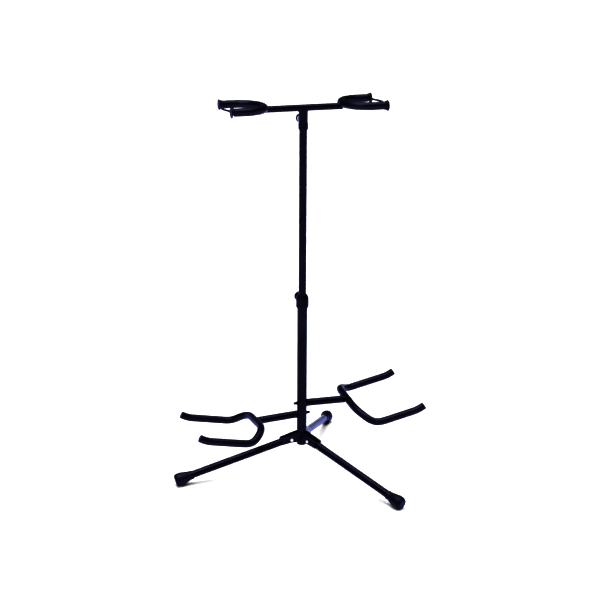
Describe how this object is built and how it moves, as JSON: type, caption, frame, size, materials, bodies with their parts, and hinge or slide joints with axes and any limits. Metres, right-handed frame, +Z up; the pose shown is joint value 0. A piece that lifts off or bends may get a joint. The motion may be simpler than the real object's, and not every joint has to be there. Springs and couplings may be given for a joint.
{
  "type": "double guitar stand",
  "caption": "Freestanding two-sided guitar stand: folding tripod, sliding mast, swivelling head with padded neck yokes and straps, and padded body cradles.",
  "frame": {"origin": "on the floor, under the middle of the stand's outline seen from above; the axis of the column stands 19.8 mm from it towards +X", "axes": "+X to the right along the crossbar, -Y to the front, +Z up along the column and mast"},
  "size_m": [0.6176, 0.5776, 0.9372],
  "materials": {
    "powder_coat": "gloss black powder coat, bluish in the light",
    "nylon": "satin moulded black nylon",
    "rubber": "soft satin black rubber",
    "foam": "smooth closed-cell black foam sleeve",
    "zinc": "bright zinc plate"
  },
  "bodies": {
    "base": {"column_tube": "powder_coat", "column_plug": "nylon", "collar_bush": "nylon", "height_collar": "nylon", "cradle_left_saddle": "nylon", "cradle_right_saddle": "nylon", "leg_bracket_left": "powder_coat", "leg_bracket_rear": "powder_coat", "leg_bracket_right": "powder_coat", "leg_rivet_left": "zinc", "leg_rivet_rear": "zinc", "leg_rivet_right": "zinc"},
    "left_leg": {"leg_left": "powder_coat", "foot_left": "rubber"},
    "rear_leg": {"leg_rear": "powder_coat", "foot_rear": "rubber"},
    "right_leg": {"leg_right": "powder_coat", "foot_right": "rubber"},
    "mast": {"mast_tube": "powder_coat", "mast_top_plug": "nylon", "mast_glide": "nylon"},
    "head": {"crossbar": "powder_coat", "head_sleeve": "powder_coat", "head_weld_nut": "zinc", "head_ferrule": "nylon", "yoke_left_rod": "powder_coat", "yoke_left_front_pad": "foam", "yoke_left_front_cap": "rubber", "yoke_left_rear_pad": "foam", "yoke_left_rear_cap": "rubber", "yoke_right_rod": "powder_coat", "yoke_right_front_pad": "foam", "yoke_right_front_cap": "rubber", "yoke_right_rear_pad": "foam", "yoke_right_rear_cap": "rubber"},
    "height_screw": {"height_screw": "zinc", "height_knob": "nylon"},
    "head_screw": {"head_screw": "zinc", "head_knob": "nylon"},
    "left_strap": {"yoke_left_strap": "rubber"},
    "left_cradle": {"cradle_left_arm": "powder_coat", "cradle_left_arm_plug": "zinc", "cradle_left_stud": "zinc", "cradle_left_cap_nut": "powder_coat", "cradle_left_fork": "powder_coat", "cradle_left_front_pad": "foam", "cradle_left_front_tip": "rubber", "cradle_left_rear_pad": "foam", "cradle_left_rear_tip": "rubber"},
    "right_strap": {"yoke_right_strap": "rubber"},
    "right_cradle": {"cradle_right_arm": "powder_coat", "cradle_right_arm_plug": "zinc", "cradle_right_stud": "zinc", "cradle_right_cap_nut": "powder_coat", "cradle_right_fork": "powder_coat", "cradle_right_front_pad": "foam", "cradle_right_front_tip": "rubber", "cradle_right_rear_pad": "foam", "cradle_right_rear_tip": "rubber"}
  },
  "joints": [
    {"name": "left_leg_fold", "type": "hinge", "parent": "base", "child": "left_leg", "pos_m": [-0.00925, 0, 0.08964], "axis": [0, -1, 0], "range_deg": [0, 75.6]},
    {"name": "rear_leg_fold", "type": "hinge", "parent": "base", "child": "rear_leg", "pos_m": [0.03425, 0.02511, 0.08964], "axis": [-0.866, 0.5, 0], "range_deg": [0, 75.6]},
    {"name": "right_leg_fold", "type": "hinge", "parent": "base", "child": "right_leg", "pos_m": [0.03425, -0.02511, 0.08964], "axis": [0.866, 0.5, 0], "range_deg": [0, 75.6]},
    {"name": "mast_height", "type": "slide", "parent": "base", "child": "mast", "axis": [0, 0, 1], "range_m": [-0.096, 0.122]},
    {"name": "head_swivel", "type": "hinge", "parent": "mast", "child": "head", "pos_m": [0.01975, 0, 0.91834], "axis": [0, 0, 1], "range_deg": [-180, 180]},
    {"name": "height_screw_turn", "type": "hinge", "parent": "base", "child": "height_screw", "pos_m": [0.01975, 0.0205, 0.45214], "axis": [0, 1, 0], "range_deg": [0, 360]},
    {"name": "head_screw_turn", "type": "hinge", "parent": "head", "child": "head_screw", "pos_m": [0.01975, 0.0172, 0.89034], "axis": [0, 1, 0], "range_deg": [0, 360]},
    {"name": "left_strap_swing", "type": "hinge", "parent": "head", "child": "left_strap", "pos_m": [-0.16265, 0.058, 0.92454], "axis": [-1, 0, 0], "range_deg": [0, 180]},
    {"name": "right_strap_swing", "type": "hinge", "parent": "head", "child": "right_strap", "pos_m": [0.20215, -0.058, 0.92454], "axis": [1, 0, 0], "range_deg": [0, 180]},
    {"name": "left_cradle_turn", "type": "hinge", "parent": "base", "child": "left_cradle", "pos_m": [0.01975, 0, 0.15444], "axis": [-0.9985, 0, -0.0541], "range_deg": [-60, 60]},
    {"name": "right_cradle_turn", "type": "hinge", "parent": "base", "child": "right_cradle", "pos_m": [0.01975, 0, 0.18224], "axis": [0.9997, 0, -0.0227], "range_deg": [-180, 180]}
  ]
}
